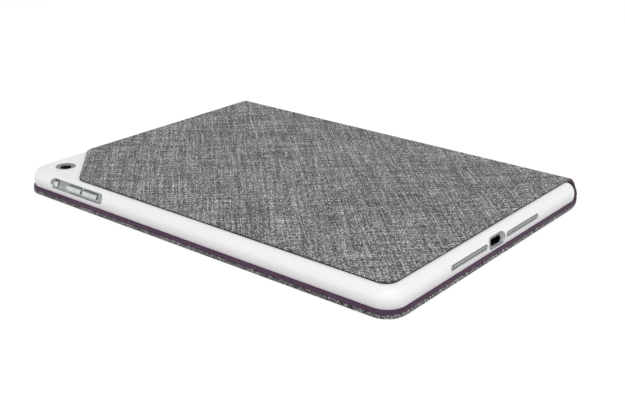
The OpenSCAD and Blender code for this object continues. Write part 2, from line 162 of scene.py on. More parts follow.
# The stage, the camera fitted to the photograph's outline, and the lights
FLOOR_Z = -0.03
FLOOR_HALF = 20000
FLOOR_GLOW = 0.675
CAMERA_PLACE = Vector((334.14, -404.43, 203.47))
CAMERA_TURN = (38.77, 21.78, 0.38)
CAMERA_LENS = 59.561
SENSOR_W = 36
WORLD_LIGHT = 0.84

# ------------------------------------------------------------- outlines, in mm


def outline(points, radii, steps=12, gap=4.0, sides=None):
    """A counter-clockwise outline with round corners: points and outward normals.

    sides gives the number of pieces in each straight side; otherwise gap does.
    """
    count = len(points)
    corners = []
    for i in range(count):
        before, here, after = (Vector(points[(i + k) % count]) for k in (-1, 0, 1))
        u, v = (before - here).normalized(), (after - here).normalized()
        half = math.acos(max(-1, min(1, u.dot(v)))) / 2
        centre = here + (u + v).normalized() * radii[i] / math.sin(half)
        first = here + u * radii[i] / math.tan(half)
        turn = math.pi - 2 * half
        arm = (first - centre) / radii[i]
        corner = []
        for k in range(steps + 1):
            a = turn * k / steps
            n = Vector((arm.x * math.cos(a) - arm.y * math.sin(a),
                        arm.x * math.sin(a) + arm.y * math.cos(a)))
            corner.append((centre + n * radii[i], n))
        corners.append(corner)
    found = []
    for i in range(count):
        found += corners[i]
        start, normal = corners[i][-1]
        end = corners[(i + 1) % count][0][0]
        pieces = sides[i] if sides else max(1, math.ceil((end - start).length / gap))
        for k in range(1, pieces):
            found.append((start.lerp(end, k / pieces), normal))
    return found


def box_outline(low, high, r, **how):
    """A rectangle's outline with all its corners rounded by r."""
    points = [(low.x, low.y), (high.x, low.y), (high.x, high.y), (low.x, high.y)]
    return outline(points, [r, r, r, r], **how)


def inset(line, d):
    """The outline moved in by d."""
    return [(p - n * d, n) for p, n in line]


def ring(line, d, z):
    """The outline moved in by d, as points at height z."""
    return [Vector((p.x - n.x * d, p.y - n.y * d, z)) for p, n in line]


def span(line, y):
    """The lowest and highest X of an outline at one Y."""
    found = []
    for k, (p, _) in enumerate(line):
        q = line[(k + 1) % len(line)][0]
        if min(p.y, q.y) - 1e-6 <= y <= max(p.y, q.y) + 1e-6:
            if abs(q.y - p.y) < 1e-6:
                found += [p.x, q.x]
            else:
                found.append(p.x + (q.x - p.x) * (y - p.y) / (q.y - p.y))
    return min(found), max(found)


def normal_at(line, x, y):
    """The outline's outward normal at its nearest point."""
    here = Vector((x, y))
    best, normal = 1e9, None
    for k, (p, n) in enumerate(line):
        q, m = line[(k + 1) % len(line)]
        along = q - p
        t = max(0, min(1, (here - p).dot(along) / max(along.length_squared, 1e-12)))
        far = (here - p - along * t).length
        if far < best:
            best, normal = far, n.lerp(m, t).normalized()
    return normal


def arc(centre, r, start, end, steps):
    """Points of an arc in the YZ plane, with angles in degrees from +Y to +Z."""
    found = []
    for k in range(steps + 1):
        a = math.radians(start + (end - start) * k / steps)
        found.append(Vector((centre[0] + r * math.cos(a), centre[1] + r * math.sin(a))))
    return found


# ---------------------------------------------------------------------- meshes


class Shape:
    """Points in mm, faces, and flat cloth coordinates in mm where there are any."""

    def __init__(self):
        self.points, self.faces, self.flat = [], [], []

    def add(self, points, flat=None):
        """Adds points and gives their numbers."""
        first = len(self.points)
        self.points += [Vector(p) for p in points]
        self.flat += flat or [(p[0], p[1]) for p in points]
        return list(range(first, len(self.points)))

    def band(self, a, b, closed=True):
        """Faces between two equal rows of point numbers."""
        for k in range(len(a) if closed else len(a) - 1):
            n = (k + 1) % len(a)
            self.faces.append((a[k], a[n], b[n], b[k]))

    def loft(self, rings, closed=True):
        """Adds rings of points with faces between them, and gives their numbers."""
        rows = [self.add(r) for r in rings]
        for a, b in zip(rows, rows[1:]):
            self.band(a, b, closed)
        return rows

    def cap(self, row, turned=False):
        """One face over a row of point numbers."""
        self.faces.append(tuple(reversed(row)) if turned else tuple(row))

    def make(self, name, sharp=SHARP):
        """The finished object. Edges of more than sharp degrees stay edges."""
        mesh = bpy.data.meshes.new(name)
        bm = bmesh.new()
        uv = bm.loops.layers.uv.new("cloth")
        made = [bm.verts.new(p * MM) for p in self.points]
        where = {v: i for i, v in enumerate(made)}
        for f in self.faces:
            face = bm.faces.new([made[i] for i in f])
            for loop in face.loops:
                u, v = self.flat[where[loop.vert]]
                loop[uv].uv = (u * MM, v * MM)
        bmesh.ops.remove_doubles(bm, verts=bm.verts, dist=MERGE_NEW)
        bmesh.ops.recalc_face_normals(bm, faces=bm.faces)
        if bm.calc_volume(signed=True) < 0 and all(e.is_manifold for e in bm.edges):
            bmesh.ops.reverse_faces(bm, faces=bm.faces)
        smooth(bm, sharp)
        bm.to_mesh(mesh)
        bm.free()
        piece = bpy.data.objects.new(name, mesh)
        bpy.context.scene.collection.objects.link(piece)
        return piece


def smooth(bm, sharp):
    """Smooth faces, with every edge sharper than the angle kept as an edge."""
    limit = math.radians(sharp)
    for face in bm.faces:
        face.smooth = True
    for edge in bm.edges:
        edge.smooth = len(edge.link_faces) != 2 or edge.calc_face_angle(0) < limit


def settle(piece):
    """Applies a piece's modifiers to its mesh."""
    evaluated = piece.evaluated_get(bpy.context.evaluated_depsgraph_get())
    mesh = bpy.data.meshes.new_from_object(evaluated)
    piece.modifiers.clear()
    piece.data = mesh
    bm = bmesh.new()
    bm.from_mesh(mesh)
    bmesh.ops.remove_doubles(bm, verts=bm.verts, dist=MERGE_SETTLED)
    smooth(bm, SHARP)
    bm.to_mesh(mesh)
    bm.free()


def cut_with(piece, cutters):
    """Cuts closed shapes out of a piece."""
    for cutter in cutters:
        step = piece.modifiers.new("cut", "BOOLEAN")
        step.operation = "DIFFERENCE"
        step.solver = "MANIFOLD"
        step.object = cutter
    settle(piece)
    for cutter in cutters:
        bpy.data.objects.remove(cutter)
    return piece


def thicken(piece, thickness):
    """Gives an open sheet its thickness, inwards."""
    step = piece.modifiers.new("thickness", "SOLIDIFY")
    step.thickness = thickness * MM
    step.offset = -1
    settle(piece)


# ------------------------------------------------------------------- materials


class Nodes:
    """Short ways to write a material's node graph."""

    def __init__(self, name):
        self.material = bpy.data.materials.new(name)
        self.material.use_nodes = True
        self.tree = self.material.node_tree
        self.shader = self.tree.nodes["Principled BSDF"]

    def node(self, kind, **values):
        """A new node with its properties set."""
        made = self.tree.nodes.new(kind)
        for key, value in values.items():
            setattr(made, key, value)
        return made

    def put(self, socket, value):
        """Links a socket to another, or sets its number."""
        if isinstance(value, bpy.types.NodeSocket):
            self.tree.links.new(value, socket)
        else:
            socket.default_value = value

    def math(self, operation, *values):
        """One step of arithmetic."""
        made = self.node("ShaderNodeMath", operation=operation)
        for socket, value in zip(made.inputs, values):
            self.put(socket, value)
        return made.outputs[0]

    def weigh(self, a, share_a, b, share_b):
        """The sum of two values, each times its share."""
        return self.math("ADD", self.math("MULTIPLY", a, share_a),
                         self.math("MULTIPLY", b, share_b))

    def vector(self, x, y, z=0.0):
        """A vector from three values."""
        made = self.node("ShaderNodeCombineXYZ")
        for socket, value in zip(made.inputs, (x, y, z)):
            self.put(socket, value)
        return made.outputs[0]

    def flat(self):
        """The cloth's own flat coordinates, in mm."""
        uv = self.node("ShaderNodeUVMap", uv_map="cloth")
        parts = self.node("ShaderNodeSeparateXYZ")
        self.put(parts.inputs[0], uv.outputs[0])
        return (self.math("MULTIPLY", parts.outputs[0], 1 / MM),
                self.math("MULTIPLY", parts.outputs[1], 1 / MM))

    def place(self):
        """The object's own coordinates, in mm."""
        place = self.node("ShaderNodeTexCoord")
        scale = self.node("ShaderNodeVectorMath", operation="SCALE")
        self.put(scale.inputs[0], place.outputs["Object"])
        scale.inputs["Scale"].default_value = 1 / MM
        return scale.outputs[0]

    def noise(self, where, scale, detail=2.0, roughness=0.5):
        """Smooth noise from 0 to 1."""
        made = self.node("ShaderNodeTexNoise")
        self.put(made.inputs["Vector"], where)
        made.inputs["Scale"].default_value = scale
        made.inputs["Detail"].default_value = detail
        made.inputs["Roughness"].default_value = roughness
        return made.outputs["Fac"]

    def spread(self, value, low, high, to_low=0.0, to_high=1.0):
        """The range from low to high, spread over another and clamped to it."""
        made = self.node("ShaderNodeMapRange")
        for socket, number in zip(made.inputs, (value, low, high, to_low, to_high)):
            self.put(socket, number)
        return made.outputs[0]

    def colours(self, value, stops):
        """A colour ramp."""
        made = self.node("ShaderNodeValToRGB")
        ramp = made.color_ramp
        while len(ramp.elements) < len(stops):
            ramp.elements.new(0.5)
        for element, (at, colour) in zip(ramp.elements, stops):
            element.position = at
            element.color = (*colour, 1)
        self.put(made.inputs[0], value)
        return made.outputs[0]

    def bump(self, height, strength, distance):
        """Bump on the shader, its distance in mm."""
        made = self.node("ShaderNodeBump")
        made.inputs["Strength"].default_value = strength
        made.inputs["Distance"].default_value = distance * MM
        self.put(made.inputs["Height"], height)
        self.put(self.shader.inputs["Normal"], made.outputs[0])

    def set(self, **values):
        """Puts values on the shader's own sockets, named with _ for a space."""
        for key, value in values.items():
            self.put(self.shader.inputs[key.replace("_", " ")], value)


def grey(level, tint=(1, 1, 1)):
    """A grey, or one tinted a little."""
    return tuple(level * t for t in tint)


def woven_cloth():
    """A bias-cut melange weave: two sets of slubby yarns at 45 degrees."""
    yarn = 0.56
    warp_slub, weft_slub = 0.8, 0.95
    n = Nodes("woven_cloth")
    u, v = n.flat()
    sway = n.math("SUBTRACT", n.noise(n.vector(u, v), 0.05), 0.5)
    diagonal = math.sqrt(0.5)
    a = n.math("MULTIPLY", n.math("ADD", u, v), diagonal)
    b = n.math("MULTIPLY", n.math("SUBTRACT", u, v), diagonal)
    a = n.math("ADD", a, n.math("MULTIPLY", sway, 1.2))
    b = n.math("ADD", b, n.math("MULTIPLY", sway, -0.9))

    def threads(along, across, seed, length):
        """One set of yarns: number and tone of each yarn, and how round it stands."""
        at = n.math("DIVIDE", across, yarn)
        number = n.math("FLOOR", at)
        middle = n.math("SUBTRACT", n.math("FRACT", at), 0.5)
        roundness = n.math("SUBTRACT", 1.0,
                           n.math("MULTIPLY", 4.0, n.math("MULTIPLY", middle, middle)))
        row = n.math("MULTIPLY", number, 7.31)
        melange = n.noise(n.vector(n.math("MULTIPLY", along, 1 / length), row, seed),
                          1.0, 1.0, 0.6)
        streak = n.noise(n.vector(n.math("MULTIPLY", along, 0.035), row, seed + 5), 1.0, 0.0)
        return number, n.weigh(melange, 0.66, streak, 0.34), roundness

    warp_no, warp, warp_round = threads(a, b, 1.0, warp_slub)
    weft_no, weft, weft_round = threads(b, a, 40.0, weft_slub)
    over = n.math("PINGPONG", n.math("ADD", warp_no, weft_no), 1.0)
    under = n.math("SUBTRACT", 1.0, over)
    tone = n.weigh(over, warp, under, weft)
    both = n.math("MULTIPLY", n.math("ADD", warp, weft), 0.5)
    tone = n.weigh(tone, 0.7, both, 0.3)
    crossing = n.node("ShaderNodeTexWhiteNoise", noise_dimensions="2D")
    n.put(crossing.inputs["Vector"], n.vector(warp_no, weft_no))
    tone = n.weigh(tone, 0.91, crossing.outputs["Value"], 0.09)
    round_top = n.weigh(over, warp_round, under, weft_round)
    # Painted shade: each yarn darkens towards its edges, where a round yarn's sides fall
    # into shade
    gap = n.spread(round_top, 0.0, 0.5, 0.45, 1.0)
    level = n.math("MULTIPLY", n.spread(tone, 0.395, 0.615), gap)
    # Painted shade: the turned-up rim is a little darker, as a side that faces out and down
    # is in shade
    rim_shade_sides = n.spread(n.math("ABSOLUTE", u), COVER_HIGH.x - RIM_SHADE_FADE, COVER_HIGH.x,
                          1.0, 0.92)
    rim_shade_front = n.spread(v, RIM_V - RIM_SHADE_FADE, RIM_V, 1.0, 0.82)
    level = n.math("MULTIPLY", level, n.math("MINIMUM", rim_shade_sides, rim_shade_front))
    colour = n.colours(level, [(0.0, grey(0.010, (1, 0.96, 1.03))),
                               (0.28, grey(0.048, (1, 0.975, 1.03))),
                               (0.52, grey(0.148, (1, 0.98, 1.02))),
                               (0.78, grey(0.37, (1, 0.985, 1.01))),
                               (1.0, grey(0.70))])
    n.set(Base_Color=colour, Roughness=n.spread(tone, 0.3, 0.7, 0.92, 0.74),
          Sheen_Weight=0.08, Sheen_Roughness=0.5, Specular_IOR_Level=0.25)
    n.bump(n.math("ADD", round_top, n.math("MULTIPLY", tone, 0.8)), 0.55, 0.16)
    return n.material


def napped(name, dark, light, nap=2.2, sheen=0.35):
    """Microfibre: a short soft nap with a slight mottle."""
    n = Nodes(name)
    where = n.place()
    mottle = n.noise(where, 0.22, 4.0, 0.6)
    fine = n.noise(where, nap, 3.0, 0.7)
    tone = n.weigh(mottle, 0.45, fine, 0.55)
    n.set(Base_Color=n.colours(tone, [(0.3, dark), (0.7, light)]),
          Roughness=n.spread(fine, 0.3, 0.7, 0.95, 0.8),
          Sheen_Weight=sheen, Sheen_Roughness=0.45, Specular_IOR_Level=0.2)
    n.bump(fine, 0.5, 0.12)
    return n.material


def plastic(name, paint, roughness, grain=1.6, depth=0.02, specular=0.5):
    """Moulded plastic with a fine spark-eroded grain.

    paint gives the base colour from the nodes, the place and a faint change of tone.
    """
    n = Nodes(name)
    where = n.place()
    tone = n.noise(where, 0.035, 3.0, 0.55)
    fine = n.noise(where, grain, 2.0, 0.6)
    n.set(Base_Color=paint(n, where, tone),
          Roughness=n.spread(fine, 0.3, 0.7, roughness - 0.05, roughness + 0.06),
          Specular_IOR_Level=specular)
    n.bump(fine, 0.35, depth)
    return n.material


def moulded(name, dark, light, roughness, **how):
    """Plastic whose tone drifts faintly from dark to light."""
    return plastic(name, lambda n, _, tone: n.colours(tone, [(0.35, dark), (0.65, light)]),
                   roughness, **how)


def tray_white_painted_shade(n, where, tone):
    """White with painted shade darker towards the tray's lower rim, and a faint painted
    purple reflection of the deck there.
    """
    parts = n.node("ShaderNodeSeparateXYZ")
    n.put(parts.inputs[0], where)
    height = n.math("ADD", parts.outputs[2], n.math("MULTIPLY", tone, 0.6))
    height = n.spread(height, TRAY_LOW.z, TRAY_HIGH.z)
    return n.colours(height, [(0.0, (0.62, 0.59, 0.63)), (0.20, (0.60, 0.582, 0.605)),
                              (0.30, (0.635, 0.625, 0.635)), (0.40, (0.66, 0.657, 0.655)),
                              (0.50, (0.70, 0.70, 0.693)), (0.62, (0.745, 0.745, 0.735)),
                              (0.80, (0.755, 0.755, 0.747)), (1.0, (0.72, 0.72, 0.713))])


def blasted_metal(name, dark, light, roughness, brushed=0.0):
    """Bead-blasted metal, or brushed along X where brushed is above 0."""
    n = Nodes(name)
    where = n.place()
    if brushed:
        stretch = n.node("ShaderNodeMapping")
        stretch.inputs["Scale"].default_value = (brushed, 1.0, 1.0)
        n.put(stretch.inputs["Vector"], where)
        where = stretch.outputs[0]
    fine = n.noise(where, 5.0, 3.0, 0.65)
    tone = n.noise(where, 0.4, 2.0)
    n.set(Base_Color=n.colours(tone, [(0.3, dark), (0.7, light)]),
          Roughness=n.spread(fine, 0.3, 0.7, roughness - 0.07, roughness + 0.08),
          Metallic=1.0)
    n.bump(fine, 0.3, 0.015)
    return n.material


CLOTH = woven_cloth()
LINER = napped("purple_microfibre", (0.048, 0.026, 0.046), (0.098, 0.058, 0.094))
LINING = napped("grey_microfibre", (0.20, 0.19, 0.20), (0.34, 0.33, 0.34), nap=1.6)
# Dark edge paint, made dark enough to stand for the shade on the panel's side wall as well
EDGE_PAINT_AND_SHADE = napped("edge_paint_and_shade", (0.018, 0.014, 0.018), (0.05, 0.04, 0.05), nap=3.0, sheen=0.1)
# The tray's white, with painted shade and a painted purple reflection low on its wall
WHITE = plastic("white_plastic", tray_white_painted_shade, 0.34)
DECK = moulded("purple_plastic", (0.050, 0.020, 0.047), (0.070, 0.032, 0.066), 0.55,
               grain=2.4, depth=0.05, specular=0.25)
CAP = moulded("key_plastic", (0.62, 0.61, 0.63), (0.70, 0.69, 0.71), 0.46, grain=3.0)
DARK = moulded("dark_plastic", (0.02, 0.018, 0.02), (0.045, 0.04, 0.045), 0.5)
RUBBER = moulded("dock_rubber", (0.022, 0.016, 0.022), (0.04, 0.03, 0.04), 0.72,
                 grain=4.0, depth=0.04)
BOARD = napped("grey_board", (0.03, 0.03, 0.03), (0.07, 0.07, 0.07), nap=1.2, sheen=0.0)
CIRCUIT = moulded("solder_mask", (0.01, 0.07, 0.03), (0.02, 0.13, 0.06), 0.35)
SILICONE = moulded("silicone", (0.62, 0.62, 0.58), (0.75, 0.75, 0.71), 0.5)
LAMP = moulded("lamp_lens", (0.55, 0.75, 0.55), (0.75, 0.92, 0.75), 0.2)
SILVER = blasted_metal("silver", (0.34, 0.365, 0.365), (0.43, 0.455, 0.455), 0.42)
BRIGHT = blasted_metal("bright_silver", (0.52, 0.545, 0.55), (0.64, 0.665, 0.67), 0.30)
FRAME = blasted_metal("frame_grey", (0.30, 0.31, 0.315), (0.38, 0.39, 0.395), 0.45)
RING = blasted_metal("ring_grey", (0.22, 0.225, 0.23), (0.30, 0.305, 0.31), 0.38)
STEEL = blasted_metal("steel", (0.42, 0.42, 0.44), (0.56, 0.56, 0.58), 0.35, brushed=0.08)

# The CAD nodes that keep their own mesh, apart from the key caps
CAD_LOOKS = {
    "cover_board": BOARD, "spine_board": BOARD, "back_board": BOARD,
    "deck_frame": DECK, "base_plate": STEEL,
    "circuit_board": CIRCUIT, "dome_sheet": SILICONE, "battery_cells": STEEL,
    "dock_strip": RUBBER, "dock_magnets": STEEL, "closing_magnets": STEEL,
    "charge_socket": STEEL, "status_lamp": LAMP, "power_switch": DARK,
    "pair_button": CAP, "camera_ring": RING,
    "key_plate": SILVER, "speaker_grille_left": SILVER,
    "speaker_grille_right": SILVER, "mute_slider": BRIGHT,
    "volume_up_key": BRIGHT, "volume_down_key": BRIGHT,
}

# Width and segments of the rounded edges of what fingers touch
CAP_EDGE = (0.22, 3)
SOFT_EDGES = {
    "mute_slider": (0.3, 4), "volume_up_key": (0.3, 4), "volume_down_key": (0.3, 4),
    "power_switch": (0.15, 3), "pair_button": (0.15, 3),
    "speaker_grille_left": (0.06, 2), "speaker_grille_right": (0.06, 2),
}


def finish_piece(piece, material, body=None):
    """A piece's material, and the body it rides on where one is given."""
    piece.data.materials.clear()
    piece.data.materials.append(material)
    if body:
        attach(piece, body)


def soften(node, width, segments):
    """Rounds a CAD node's edges with a modifier, its own mesh unchanged."""
    piece = frame["nodes"][node]
    weld = piece.modifiers.new("weld", "WELD")
    weld.merge_threshold = MERGE_CAD
    bevel = piece.modifiers.new("soft edges", "BEVEL")
    bevel.width = width * MM
    bevel.segments = segments
    bevel.limit_method = "ANGLE"
    bevel.angle_limit = math.radians(40)
    bevel.harden_normals = True


def dress_cad_nodes():
    """Materials for the CAD nodes, and rounded edges for the keys and switches."""
    for node, piece in frame["nodes"].items():
        piece.data.materials.clear()
        piece.data.materials.append(CAD_LOOKS.get(node, CAP))
        if node not in CAD_LOOKS and node.endswith(("_key", "_keys", "_bar")):
            soften(node, *CAP_EDGE)
    for node, edge in SOFT_EDGES.items():
        soften(node, *edge)


# ----------------------------------------------------------------- woven cloth


def distances(path):
    """How far along a path each of its points is."""
    found = [0]
    for p, q in zip(path, path[1:]):
        found.append(found[-1] + (q - p).length)
    return found


def cloth_sheet(name, line, z, up, edge, fold, widths, flat_from, flat_sign):
    """A sheet that covers a plate, turns in round three sides and folds at the spine.

    line is the plate's outline, z its face, up +1 for an upper face and -1 for a
    lower one. edge is the turned-in profile: first how far the flat face stops short
    of the outline, then for each ring its distance out from there and back from the
    face. fold is the spine path in Y and Z, and widths the X half-lengths along it.
    flat_from is the flat coordinate at the fold's start, and flat_sign the way it
    runs on along the fold.
    """
    inner = inset(line, edge[0][0])
    fold_y = fold[0].x
    marks = sorted({round(p.y, 5) for p, _ in inner if p.y < fold_y - FOLD_CLEAR})
    ys = [min(p.y for p, _ in inner)]
    for y in marks[1:] + [fold_y]:
        last = ys[-1]
        if y - last < ROW_LEAST:
            continue
        steps = max(1, math.ceil((y - last) / ROW_GAP))
        ys += [last + (y - last) * k / steps for k in range(1, steps + 1)]
    shape = Shape()
    rows = []
    for y in ys:
        x0, x1 = span(inner, min(y, fold_y))
        if y == ys[-1]:
            x0, x1 = -widths[0], widths[0]
        points, flat = [], []
        for k in range(CLOTH_COLUMNS + 1):
            x = x0 + (x1 - x0) * k / CLOTH_COLUMNS
            points.append((x, y, z))
            flat.append((x, flat_from - flat_sign * (fold_y - y)))
        rows.append(shape.add(points, flat))
    along = distances(fold)
    for (py, pz), half, far in list(zip(fold, widths, along))[1:]:
        points, flat = [], []
        for k in range(CLOTH_COLUMNS + 1):
            x = -half + 2 * half * k / CLOTH_COLUMNS
            points.append((x, py, pz))
            flat.append((x, flat_from + flat_sign * far))
        rows.append(shape.add(points, flat))
    for a, b in zip(rows, rows[1:]):
        shape.band(a, b, closed=False)
    grid = rows[:len(ys)]
    border = ([row[0] for row in reversed(grid[1:])] + list(grid[0])
              + [row[-1] for row in grid[1:]])
    normals = [normal_at(inner, *shape.points[i].xy) for i in border]
    last = border
    for out, back in edge[1:]:
        points, flat = [], []
        for i, n in zip(border, normals):
            p = shape.points[i]
            points.append((p.x + n.x * out, p.y + n.y * out, z - up * back))
            u, v = shape.flat[i]
            run = out + back
            flat.append((u + n.x * run, v + flat_sign * n.y * run))
        row = shape.add(points, flat)
        shape.band(last, row, closed=False)
        last = row
    return shape.make(name, sharp=50)


def round_edge(r, depth, tuck):
    """An edge profile: a rounded corner, a straight side and a short tuck."""
    steps, rise = 6, 0.02
    found = [(r, 0.0)]
    for k in range(1, steps + 1):
        a = math.radians(90 * k / steps)
        found.append((r * math.sin(a), r * (1 - math.cos(a))))
    return found + [(r, depth), (r - tuck, depth + rise)]


def panel_outline():
    """The back panel's outline, with its cut-off corner, run on past the spine."""
    cut = PANEL_LOW.x + PANEL_LOW.y + PANEL_CUT
    behind = PANEL_HIGH.y + PAST_SPINE
    points = [(cut - PANEL_LOW.y, PANEL_LOW.y), (PANEL_HIGH.x, PANEL_LOW.y),
              (PANEL_HIGH.x, behind), (PANEL_LOW.x, behind),
              (PANEL_LOW.x, cut - PANEL_LOW.x)]
    return outline(points, [PANEL_CUT_R, PANEL_R, HIDDEN_R, HIDDEN_R, PANEL_CUT_R])


def fold_path(centre, r, start):
    """The outside of the cloth round a fold and to the spine's middle, in Y and Z."""
    return arc(centre, r, start, 0, FOLD_STEPS) + [
        Vector((SPINE_HIGH.y, centre[1] + (SPINE_MIDDLE - centre[1]) * k / STRAIGHT_STEPS))
        for k in range(1, STRAIGHT_STEPS + 1)]


UPPER = fold_path(HIGH_FOLD, HIGH_FOLD_R, 90)
LOWER = fold_path(LOW_FOLD, LOW_FOLD_R, -90)
UPPER_L = distances(UPPER)[-1]
LOWER_L = distances(LOWER)[-1]


def bend_high(piece):
    """Bakes a piece's transform into its mesh; it is not bent here."""
    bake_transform(piece)


def bend_low(piece):
    """Bakes a piece's transform into its mesh; it is not bent here."""
    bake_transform(piece)


def spine_half(z):
    """The spine's half-length at a height."""
    for (z0, x0), (z1, x1) in zip(SPINE_ENDS, SPINE_ENDS[1:]):
        if z <= z1:
            return x0 + (x1 - x0) * max(0, z - z0) / (z1 - z0)
    return SPINE_ENDS[-1][1]


def cover_outline():
    """The cover's outline, drawn in a little towards the spine and run past it."""
    x, y0, y1 = COVER_HIGH.x, COVER_LOW.y, COVER_HIGH.y
    drawn, past = y1 - 5.5, y1 + 6
    near, far = x - 1.1, x - 3.2
    points = [(-x, y0), (x, y0), (x, drawn), (near, y1), (far, past),
              (-far, past), (-near, y1), (-x, drawn)]
    return outline(points, [COVER_R, COVER_R, 12, 8, 1, 1, 8, 12])


def make_back_cloth():
    """The woven panel, folded over the spine's upper edge."""
    halves = [spine_half(p.y) for p in UPPER]
    edge = round_edge(PANEL_EDGE_R, PANEL_EDGE_H, PANEL_TUCK)
    piece = cloth_sheet("back_cloth", panel_outline(), PANEL_HIGH.z, 1, edge, UPPER,
                        halves, UPPER[0].x, 1)
    thicken(piece, CLOTH_T)
    finish_piece(piece, CLOTH)
    bend_high(piece)
    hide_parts("back_fabric", "spine_fabric")


def make_cover_cloth():
    """The cover's covering, with its turned-up rim, folded up behind the spine."""
    halves = [spine_half(p.y) for p in LOWER]
    rim = round_edge(RIM_R, RIM_TOP, RIM_TUCK)
    start = UPPER[0].x + UPPER_L + LOWER_L
    piece = cloth_sheet("cover_cloth", cover_outline(), COVER_LOW.z, -1, rim, LOWER,
                        halves, start, -1)
    thicken(piece, CLOTH_T)
    cut_with(piece, [edge_hole("charge_socket", 0.3, 1.1)])
    finish_piece(piece, CLOTH)
    bend_low(piece)
    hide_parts("cover_fabric")


# --------------------------------------------------------------- purple lining


def lining_strip(name, outer, inner):
    """A closed strip between two paths in Y and Z, a little longer than the spine."""
    columns = 40
    shape = Shape()
    halves = [spine_half(p.y) + LINING_PROUD for p in outer]
    rows = []
    for path in (outer, inner):
        for (y, z), half in zip(path, halves):
            rows.append([(-half + 2 * half * k / columns, y, z) for k in range(columns + 1)])
    count = len(outer)
    made = [shape.add(r) for r in rows[:count] + rows[count:][::-1]]
    for a, b in zip(made, made[1:] + made[:1]):
        shape.band(a, b, closed=False)
    for k in (0, columns):
        for j in range(count - 1):
            shape.faces.append((made[j][k], made[j + 1][k], made[2 * count - 2 - j][k],
                                made[2 * count - 1 - j][k]))
    return shape.make(name, sharp=40)


def lining_paths(centre, r, start, padding):
    """The outer and inner face of the lining in a fold, in Y and Z.

    It is thin where it meets the plate, and padding is added in the middle.
    """
    outer = arc(centre, r - LINING_UNDER, start, 0, FOLD_STEPS)
    inner = []
    for k in range(FOLD_STEPS + 1):
        part = k / FOLD_STEPS
        a = math.radians(start * (1 - part))
        deep = (LINING_THIN + (LAMINATE - LINING_THIN) * part
                + padding * math.sin(math.pi * part))
        inner.append(Vector((centre[0] + (r - deep) * math.cos(a),
                             centre[1] + (r - deep) * math.sin(a))))
    for k in range(1, STRAIGHT_STEPS + 1):
        z = centre[1] + (SPINE_MIDDLE - centre[1]) * k / STRAIGHT_STEPS
        outer.append(Vector((SPINE_HIGH.y - LINING_UNDER, z)))
        inner.append(Vector((SPINE_HIGH.y - LAMINATE, z)))
    for path in (outer, inner):
        path.insert(0, path[0] - Vector((LINING_LAP, 0)))
    return outer, inner


def make_lining():
    """The lining inside the two folds, each a little longer than the spine at every height.
    """
    ends = dict(SPINE_ENDS)
    for name, paths, bend, half in (
            ("upper_lining", lining_paths(HIGH_FOLD, HIGH_FOLD_R, 90, HIGH_FOLD_PADDING),
             bend_high, ends[8]),
            ("lower_lining", lining_paths(LOW_FOLD, LOW_FOLD_R, -90, 0.0),
             bend_low, ends[3.5])):
        piece = lining_strip(name, *paths)
        finish_piece(piece, LINER)
        bend(piece)
        if name == "upper_lining":
            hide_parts("spine_liner")
        distances(paths[0])[-1]


def edge_strip(name, line, profile, y_end):
    """A closed roll round the three free sides of a plate.

    profile runs once round: distance in from the outline, and height. The roll ends
    at y_end.
    """
    start = next(k for k in range(len(line)) if line[k][0].y >= y_end
                 and line[(k + 1) % len(line)][0].y < y_end)
    kept = []
    for k in range(1, len(line)):
        p, n = line[(start + k) % len(line)]
        if p.y >= y_end:
            break
        kept.append((p, n))
    first, last = kept[0], kept[-1]
    kept = [(Vector((first[0].x, y_end)), first[1])] + kept
    kept.append((Vector((last[0].x, y_end)), last[1]))
    shape = Shape()
    rows = [shape.add(ring(kept, d, z)) for d, z in profile]
    for a, b in zip(rows, rows[1:] + rows[:1]):
        shape.band(a, b, closed=False)
    shape.cap([row[0] for row in rows])
    shape.cap([row[-1] for row in rows], turned=True)
    return shape.make(name, sharp=40)


def edge_hole(node, room, r):
    """A cutter for the hole in the -X edge that a CAD node shows and moves in.

    room is left on all its sides, and r rounds its corners.
    """
    outside, inside = COVER_LOW.x - 2, COVER_LOW.x + 3
    low, high = box_mm(node)
    line = box_outline(Vector((low.y - room, low.z - room)),
                       Vector((high.y + room + TRAVEL.get(node, 0), high.z + room)),
                       r, steps=8)
    shape = Shape()
    rows = shape.loft([[Vector((x, p.x, p.y)) for p, _ in line]
                       for x in (outside, inside)])
    for row, turned in zip(rows, (False, True)):
        shape.cap(row, turned)
    return shape.make(node + "_hole")


def felt(name, node, body, material, r, hole=None):
    """A bonded lining in place of a plain CAD one, with a soft pressed edge.

    hole is the centre and radius of a round hole, in a lining whose face is below.
    """
    low, high = box_mm(node)
    line = box_outline(low, high, r, steps=10, gap=6)
    thick = high.z - low.z
    shape = Shape()
    profile = [(0.1, low.z), (0.0, low.z + 0.3 * thick), (0.12, high.z - 0.16 * thick),
               (0.4, high.z), (1.2, high.z - 0.02)]
    if hole:
        profile = [(d, low.z + high.z - z) for d, z in profile][::-1]
    rows = shape.loft([ring(line, d, z) for d, z in profile])
    shape.cap(rows[0])
    shape.cap(rows[-1])
    piece = shape.make(name, sharp=60)
    if hole:
        centre, radius = hole
        turns = [math.radians(5 * k) for k in range(72)]
        cutter = Shape()
        rows = cutter.loft([[Vector((centre.x + radius * math.cos(a),
                                     centre.y + radius * math.sin(a), z)) for a in turns]
                            for z in (low.z - CLEAR, high.z + CLEAR)])
        for row in rows:
            cutter.cap(row)
        cut_with(piece, [cutter.make(name + "_hole")])
    finish_piece(piece, material, body)
    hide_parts(node)


def make_linings_inside():
    """The pad behind the keys, and the tray's lining with the camera's hole in it."""
    felt("rear_pad", "rear_liner", "cover", LINER, r=2.9)
    felt("tray_felt", "tray_lining", "back", LINING, r=4.3,
         hole=(RING_CENTRE, RING_R + 0.65))


